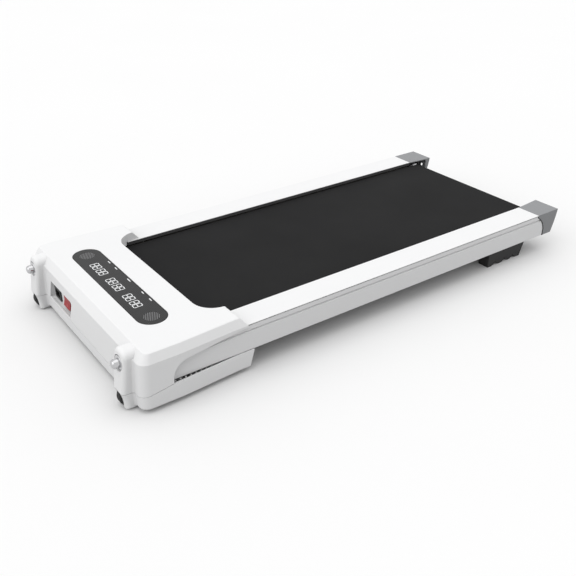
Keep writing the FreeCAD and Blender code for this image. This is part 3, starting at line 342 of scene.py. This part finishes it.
paleBounce = (0.46, 0.46, 0.462)
finishes = {
    "white_shell": grainFinish("shellWhite", (0.865, 0.867, 0.872), (0.89, 0.892, 0.896), (0.42, 0.55),
                               bump=0.06, specular=0.25, bounce=paleBounce),
    "rail_metal": brushFinish("railCoat", (0.83, 0.832, 0.837), (0.865, 0.867, 0.872), (0.36, 0.46),
                              metallic=0.0, specular=0.25, bounce=paleBounce),
    "cap_grey": grainFinish("capGrey", (0.25, 0.255, 0.264), (0.345, 0.35, 0.36), (0.6, 0.8), grain=1100.0,
                            cloud=420.0, bump=0.35, specular=0.3),
    "belt_face": beltFinish(beltLook),
    "foot_rubber": grainFinish("footRubber", (0.02, 0.02, 0.02), (0.032, 0.032, 0.033), (0.6, 0.82),
                               bump=0.3),
    "tyre_rubber": grainFinish("tyreRubber", (0.009, 0.009, 0.009), (0.018, 0.018, 0.018), (0.6, 0.85),
                               bump=0.3),
    "hub_plastic": grainFinish("hubPlastic", (0.13, 0.13, 0.13), (0.17, 0.17, 0.17), (0.4, 0.55), bump=0.1),
    "bolt_chrome": turnedFinish("boltChrome", (0.48, 0.48, 0.49), (0.56, 0.56, 0.57), (0.06, 0.14),
                                bump=0.02),
    "bolt_black": turnedFinish("boltBlack", (0.035, 0.035, 0.036), (0.06, 0.06, 0.061),
                               (0.35, 0.5), metallic=0.4),
    "guard_grey": grainFinish("guardGrey", (0.05, 0.05, 0.051), (0.075, 0.075, 0.076), (0.5, 0.7), bump=0.15,
                              specular=0.25),
    "display_black": lensFinish(lensLook),
    "board_green": grainFinish("boardMask", (0.012, 0.07, 0.03), (0.02, 0.1, 0.045), (0.35, 0.5), bump=0.05),
    "digit_face": grainFinish("digitBlock", (0.03, 0.03, 0.03), (0.045, 0.045, 0.045), (0.3, 0.45),
                              bump=0.05),
    "speaker_black": grainFinish("speakerBasket", (0.02, 0.02, 0.02), (0.035, 0.035, 0.035), (0.5, 0.7),
                                 bump=0.2),
    "inlet_black": grainFinish("inletBlack", (0.014, 0.014, 0.014), (0.022, 0.022, 0.022), (0.4, 0.6),
                               bump=0.12),
    "pin_metal": turnedFinish("pinPlate", (0.78, 0.77, 0.74), (0.86, 0.85, 0.82), (0.35, 0.5),
                              bump=0.03, metallic=0.35),
    "rocker_red": grainFinish("rockerRed", (0.33, 0.018, 0.023), (0.4, 0.026, 0.031), (0.34, 0.46), bump=0.03,
                              specular=0.2),
    "frame_paint": grainFinish("framePaint", (0.02, 0.02, 0.021), (0.03, 0.03, 0.031), (0.38, 0.55),
                               bump=0.12),
    "axle_steel": turnedFinish("axleSteel", (0.5, 0.5, 0.51), (0.6, 0.6, 0.61), (0.22, 0.38)),
    "roller_steel": turnedFinish("rollerSteel", (0.5, 0.51, 0.52), (0.58, 0.59, 0.6), (0.25, 0.42)),
    "screw_steel": turnedFinish("screwZinc", (0.6, 0.61, 0.63), (0.72, 0.73, 0.75), (0.2, 0.34)),
    "pulley_metal": turnedFinish("pulleyTurned", (0.62, 0.63, 0.64), (0.72, 0.73, 0.74), (0.24, 0.4)),
    "drive_rubber": grainFinish("driveRubber", (0.014, 0.014, 0.014), (0.024, 0.024, 0.024),
                                (0.55, 0.75), bump=0.2),
    "deck_wood": woodFinish(woodLook),
    "cushion_rubber": grainFinish("cushionRubber", (0.03, 0.03, 0.03), (0.05, 0.05, 0.05), (0.6, 0.8),
                                  bump=0.25),
    "motor_paint": grainFinish("motorPaint", (0.018, 0.018, 0.019), (0.03, 0.03, 0.031), (0.35, 0.5),
                               bump=0.1),
    "armature_metal": turnedFinish("armatureWound", (0.4, 0.2, 0.1), (0.5, 0.28, 0.15),
                                   (0.3, 0.5), rings=1300.0),
    "flywheel_iron": turnedFinish("flywheelIron", (0.18, 0.18, 0.18), (0.26, 0.26, 0.26), (0.4, 0.6)),
    "sink_metal": brushFinish("sinkFins", (0.55, 0.55, 0.56), (0.65, 0.65, 0.66), (0.3, 0.45)),
}
finishOf = {part["node"]: part["material_slot"] for part in frame["record"]["subparts"]}
for name, node in nodes.items():
    for slot in node.material_slots:
        slot.material = finishes[finishOf[name]]
print("finishes:", len(finishes))


# A piece from a grid of points: rows along the path, columns round the profile, both closed
def gridPiece(name, points, smooth):
    rows, columns = points.shape[:2]
    index = np.arange(rows * columns).reshape(rows, columns)
    index = np.vstack([index, index[:1]])
    index = np.hstack([index, index[:, :1]])
    faces = np.stack([index[:-1, :-1], index[1:, :-1], index[1:, 1:], index[:-1, 1:]], -1).reshape(-1, 4)
    return meshPiece(name, points.reshape(-1, 3), faces.tolist(), smooth)


# The mesh itself, with its faces turned outwards
def meshPiece(name, points, faces, smooth):
    mesh = bpy.data.meshes.new(name)
    mesh.from_pydata(points.tolist(), [], faces)
    mesh.polygons.foreach_set("use_smooth", np.full(len(mesh.polygons), smooth))
    work = bmesh.new()
    work.from_mesh(mesh)
    bmesh.ops.recalc_face_normals(work, faces=work.faces[:])
    work.to_mesh(mesh)
    work.free()
    piece = bpy.data.objects.new(name, mesh)
    scene.collection.objects.link(piece)
    return piece


# Flat plates: outlines (count, corners, 2) laid on a plane and given a thickness along its normal
def platePiece(name, outlines, origin, across, up, thick):
    count, corners = outlines.shape[:2]
    out = np.cross(across, up)
    flat = origin + outlines[..., :1] * across + outlines[..., 1:] * up
    points = np.stack([flat, flat + thick * out], 1)
    index = np.arange(count * 2 * corners).reshape(count, 2, corners)
    after = np.roll(index, -1, 2)
    sides = np.stack([index[:, 0], after[:, 0], after[:, 1], index[:, 1]], -1).reshape(-1, 4)
    faces = index[:, 0, ::-1].tolist() + index[:, 1].tolist() + sides.tolist()
    return meshPiece(name, points.reshape(-1, 3), faces, smooth=False)


# The same on a level plane at one height
def levelPlates(name, outlines, level, thick):
    origin = np.array([0, 0, level])
    return platePiece(name, outlines, origin, np.array([1, 0, 0]), np.array([0, 1, 0]), thick)


def dress(piece, body, material):
    piece.data.materials.append(material)
    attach(piece, body)
    return piece


digitForm = {"groups": (-0.0766, 0.0, 0.0766), "places": (-0.0214, -0.0086, 0.0086, 0.0214), "wide": 0.0103,
             "tall": 0.0176, "stroke": 0.0016, "joint": 0.0003, "row": -0.4656, "thick": 0.00012}
barForm = {"places": (-0.0925, -0.0595, 0.0, 0.0605, 0.093), "long": (0.011, 0.011, 0.0145, 0.0095, 0.0105),
           "wide": 0.002, "row": -0.4363, "corners": 16, "thick": 0.00012}
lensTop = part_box("display_lens")[1].z


# Seven segments per digit: each an elongated hexagon, laid flat or turned a quarter
def makeDigits(form):
    w, h, t = form["wide"], form["tall"], form["stroke"]
    centres = np.array([(0, h / 2), (0, 0), (0, -h / 2), (-w / 2, h / 4), (w / 2, h / 4), (-w / 2, -h / 4),
                        (w / 2, -h / 4)])
    half = np.array([w] * 3 + [h / 2] * 4) / 2 - form["joint"]
    tips = np.array([(-1, 0), (-1, 1), (1, 1), (1, 0), (1, -1), (-1, -1)])
    trim = np.array([0, 1, 1, 0, 1, 1]) * t / 2
    along = tips[:, 0] * (half[:, None] - trim)
    across = np.broadcast_to(tips[:, 1] * t / 2, along.shape)
    level = (np.arange(7) < 3)[:, None]
    hexes = np.stack([np.where(level, along, across), np.where(level, across, along)], -1) + centres[:, None]
    places = (np.array(form["groups"])[:, None] + np.array(form["places"])).ravel()
    shift = np.stack([places, np.full_like(places, form["row"])], -1)
    outlines = (hexes[None] + shift[:, None, None]).reshape(-1, 6, 2)
    return levelPlates("digitSegments", outlines, lensTop, form["thick"])


# Bars with half-round ends: a circle pulled apart by the bar's straight length
def makeBars(form):
    angle = np.linspace(0, 2 * math.pi, form["corners"], endpoint=False) + math.pi / form["corners"]
    ring = np.stack([np.cos(angle), np.sin(angle)], -1) * form["wide"] / 2
    pull = (np.array(form["long"]) - form["wide"])[:, None] / 2 * np.sign(ring[:, 0])
    outlines = np.stack([ring[:, 0] + pull + np.array(form["places"])[:, None],
                         np.broadcast_to(ring[:, 1] + form["row"], pull.shape)], -1)
    return levelPlates("indicatorBars", outlines, lensTop, form["thick"])


segmentGlow = glowFinish(glowLook)
dress(makeDigits(digitForm), "frame", segmentGlow)
dress(makeBars(barForm), "frame", segmentGlow)
print("display: digits and bars on the lens")

clothForm = {"radius": 0.0158, "inset": 0.0295, "thick": 0.0001, "corners": 48}
stripForm = {"radius": 0.0155, "count": 10, "turn": 151.0, "wide": 0.001, "inset": 0.0295, "endGap": 0.0003,
             "sink": 0.0003, "thick": 0.0014}


# Centres of the two grilles, as far from the lens ends as the part has them
def grillePlaces(form):
    low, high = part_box("display_lens")
    row = (low.y + high.y) / 2
    return np.array([(low.x + form["inset"], row), (high.x - form["inset"], row)])


# Cloth discs: a full circle under each grille, midway between the speakers and the lens
def makeCloth(form):
    angle = np.linspace(0, 2 * math.pi, form["corners"], endpoint=False)
    ring = np.stack([np.cos(angle), np.sin(angle)], -1) * form["radius"]
    outlines = ring[None] + grillePlaces(form)[:, None]
    level = (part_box("speakers")[1].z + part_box("display_lens")[0].z) / 2
    return levelPlates("grilleCloth", outlines, level, form["thick"])


# Pale strips standing in the slots: chords of the grille's circle at an even pitch, turned together
def makeStrips(form):
    pitch = 2 * form["radius"] / form["count"]
    off = pitch * (np.arange(form["count"]) - (form["count"] - 1) / 2)
    reach = np.sqrt(form["radius"] ** 2 - off ** 2) - form["endGap"]
    along = reach[:, None] * np.array([-1, 1, 1, -1])
    side = off[:, None] + np.array([-1, -1, 1, 1]) * form["wide"] / 2
    turn = math.radians(form["turn"])
    flat = np.stack([along * math.cos(turn) - side * math.sin(turn),
                     along * math.sin(turn) + side * math.cos(turn)], -1)
    outlines = (flat[None] + grillePlaces(form)[:, None, None]).reshape(-1, 4, 2)
    level = lensTop - form["sink"] - form["thick"]
    return levelPlates("grilleStrips", outlines, level, form["thick"])


stripGrey = grainFinish("stripGrey", (0.22, 0.22, 0.225), (0.29, 0.29, 0.295), (0.45, 0.6), grain=1500.0,
                        cloud=90.0)
dress(makeCloth(clothForm), "frame", clothFinish(clothLook))
dress(makeStrips(stripForm), "frame", stripGrey)
print("speakers: cloth and strips in the grilles")

rockerForm = {"axis": (-0.528, 0.0615), "centre": -0.0855, "crease": -0.537, "rise": 0.0015, "half": 0.0126,
              "tilt": 7.0, "barSize": (0.0013, 0.0058), "ringOuter": 0.0031, "ringInner": 0.0021,
              "ringSteps": 40, "thick": 0.00012}


# One half of the rocker's vee: the face's middle and its two directions, turned with the rest tilt
def rockerFace(form, half):
    turn = math.radians(-form["tilt"])
    spin = np.array([(1, 0, 0), (0, math.cos(turn), -math.sin(turn)), (0, math.sin(turn), math.cos(turn))])
    axis = np.array([0, *form["axis"]])
    middle = np.array([form["centre"], form["crease"] - form["rise"] / 2,
                       form["axis"][1] + half * form["half"] / 2])
    up = np.array([0, -half * form["rise"], form["half"]])
    up = up / np.linalg.norm(up)
    return spin @ (middle - axis) + axis, np.array([1, 0, 0]), spin @ up


# On and off marks: a flat bar on the upper half, and a small rectangle carried round a circle on the lower
def makeRockerMarks(form):
    w, h = form["barSize"]
    origin, across, up = rockerFace(form, 1)
    bar = np.array([[(-w / 2, -h / 2), (w / 2, -h / 2), (w / 2, h / 2), (-w / 2, h / 2)]])
    onMark = platePiece("rockerOnMark", bar, origin, across, up, form["thick"])
    origin, across, up = rockerFace(form, -1)
    out = np.cross(across, up)
    angle = np.linspace(0, 2 * math.pi, form["ringSteps"], endpoint=False)[:, None, None]
    inner, outer = form["ringInner"], form["ringOuter"]
    radius = np.array([inner, outer, outer, inner])[None, :, None]
    lift = np.array([0, 0, 1, 1])[None, :, None] * form["thick"]
    points = origin + radius * (np.cos(angle) * across + np.sin(angle) * up) + lift * out
    offMark = gridPiece("rockerOffMark", points, smooth=False)
    return onMark, offMark


markInk = grainFinish("markInk", (0.56, 0.09, 0.095), (0.62, 0.11, 0.115), (0.3, 0.42), grain=1500.0,
                      bump=0.03)
for mark in makeRockerMarks(rockerForm):
    dress(mark, "rocker", markInk)
print("rocker: on and off marks")

tyreForm = {"centre": (0.209, -0.5473, 0.0215), "outer": 0.0205, "inner": 0.01305, "width": 0.016,
            "round": 0.003, "groovePitch": 0.8, "grooveDeep": 0.0007, "grooveSlope": 4.0, "bars": 30,
            "barDeep": 0.0006, "barEdge": 0.5, "barSlope": 3.0, "shoulder": 0.35, "shoulderSlope": 6.0,
            "turns": 180, "steps": 44}


# Tyre: r(a, x) = R - corner rounding - ring grooves - cross cuts near the shoulders; the bore closes it.
# x runs from -1 to 1 over the width, and the groove pitch and the shoulder are in the same measure
def makeTyre(form, side, name):
    x = np.linspace(-1, 1, form["steps"])
    w, r0 = form["width"] / 2, form["round"]
    past = np.clip((np.abs(x) * w - (w - r0)) / r0, 0, 1)
    eased = r0 * (1 - np.sqrt(1 - past ** 2))
    wave = np.cos(2 * math.pi * x / form["groovePitch"]) - 1
    groove = form["grooveDeep"] * np.clip(wave * form["grooveSlope"] + 1, 0, 1)
    angle = np.linspace(0, 2 * math.pi, form["turns"], endpoint=False)[:, None]
    shoulder = np.clip((np.abs(x) - form["shoulder"]) * form["shoulderSlope"], 0, 1) * (1 - past)
    teeth = np.clip((np.cos(angle * form["bars"]) - form["barEdge"]) * form["barSlope"], 0, 1)
    cuts = form["barDeep"] * teeth * shoulder
    radius = np.hstack([form["outer"] - eased - groove - cuts, np.full((form["turns"], 2), form["inner"])])
    along = np.broadcast_to(np.append(x, (1, -1)) * w, radius.shape)
    cx, cy, cz = form["centre"]
    points = np.stack([side * cx + along, cy + radius * np.cos(angle), cz + radius * np.sin(angle)], -1)
    return gridPiece(name, points, smooth=True)


for side, word in ((1, "left"), (-1, "right")):
    tyre = makeTyre(tyreForm, side, word + "TyreTread")
    dress(tyre, word + "_wheel", finishes["tyre_rubber"])
    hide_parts(word + "_wheel_tyre")
print("wheels: treaded tyres")

floorLook = {"half": 40.0, "shade": (0.92, 0.92, 0.92), "light": (0.935, 0.935, 0.935),
             "bounce": (0.36, 0.36, 0.36), "rough": (0.85, 0.95), "grain": 300.0, "cloud": 1.5, "bump": 0.02,
             "specular": 0.0}
corners = np.array([(-1, -1, 0), (1, -1, 0), (1, 1, 0), (-1, 1, 0)]) * floorLook["half"]
floor = meshPiece("floor", corners, [(0, 1, 2, 3)], smooth=False)
floorPaper = grainFinish("floorPaper", floorLook["shade"], floorLook["light"], floorLook["rough"],
                         grain=floorLook["grain"], cloud=floorLook["cloud"], bump=floorLook["bump"],
                         specular=floorLook["specular"], bounce=floorLook["bounce"])
floor.data.materials.append(floorPaper)

lightForm = {"sky": 0.76, "key": {"power": 0.58, "soft": 60.0, "lean": -8.0},
             "front": {"power": 0.7, "soft": 60.0, "lean": 55.0}}


# One where the ray comes from the camera, a gloss or a glass
def directLook(tree):
    path = tree.nodes.new("ShaderNodeLightPath").outputs
    seen = mathNode(tree, "MAXIMUM", path["Is Camera Ray"], path["Is Glossy Ray"])
    return mathNode(tree, "MAXIMUM", seen, path["Is Transmission Ray"])


# Even sky for the light, plain white where the camera, gloss or glass looks past the object
def makeSky(strength):
    world = bpy.data.worlds.new("studio")
    world.use_nodes = True
    tree = world.node_tree
    lit = tree.nodes["Background"]
    lit.inputs["Color"].default_value = (1, 1, 1, 1)
    lit.inputs["Strength"].default_value = strength
    white = addNode(tree, "ShaderNodeBackground", Color=(1, 1, 1, 1), Strength=1.0)
    both = tree.nodes.new("ShaderNodeMixShader")
    tree.links.new(directLook(tree), both.inputs[0])
    tree.links.new(lit.outputs[0], both.inputs[1])
    tree.links.new(white.outputs[0], both.inputs[2])
    tree.links.new(both.outputs[0], tree.nodes["World Output"].inputs["Surface"])
    scene.world = world


# A wide soft lamp far off: its lean turns it from straight down towards the rear
def makeSun(name, form):
    sun = bpy.data.lights.new(name, "SUN")
    sun.energy = form["power"]
    sun.angle = math.radians(form["soft"])
    lamp = bpy.data.objects.new(name, sun)
    lamp.rotation_euler = (math.radians(form["lean"]), 0, 0)
    scene.collection.objects.link(lamp)


makeSky(lightForm["sky"])
makeSun("keySun", lightForm["key"])
makeSun("frontSun", lightForm["front"])

cameraForm = {"eye": (1.2489, -0.9487, 0.8525), "target": (0.1075, -0.1282, 0.049), "lens": 47.8,
              "sensor": 36.0, "farthest": 200.0}
lensData = bpy.data.cameras.new("photoCamera")
lensData.lens = cameraForm["lens"]
lensData.sensor_width = cameraForm["sensor"]
lensData.clip_end = cameraForm["farthest"]
camera = bpy.data.objects.new("photoCamera", lensData)
camera.location = cameraForm["eye"]
aim = Vector(cameraForm["target"]) - Vector(cameraForm["eye"])
camera.rotation_euler = aim.to_track_quat("-Z", "Y").to_euler()
scene.collection.objects.link(camera)
scene.camera = camera
scene.view_settings.view_transform = "Standard"
print("stage, light and camera set")
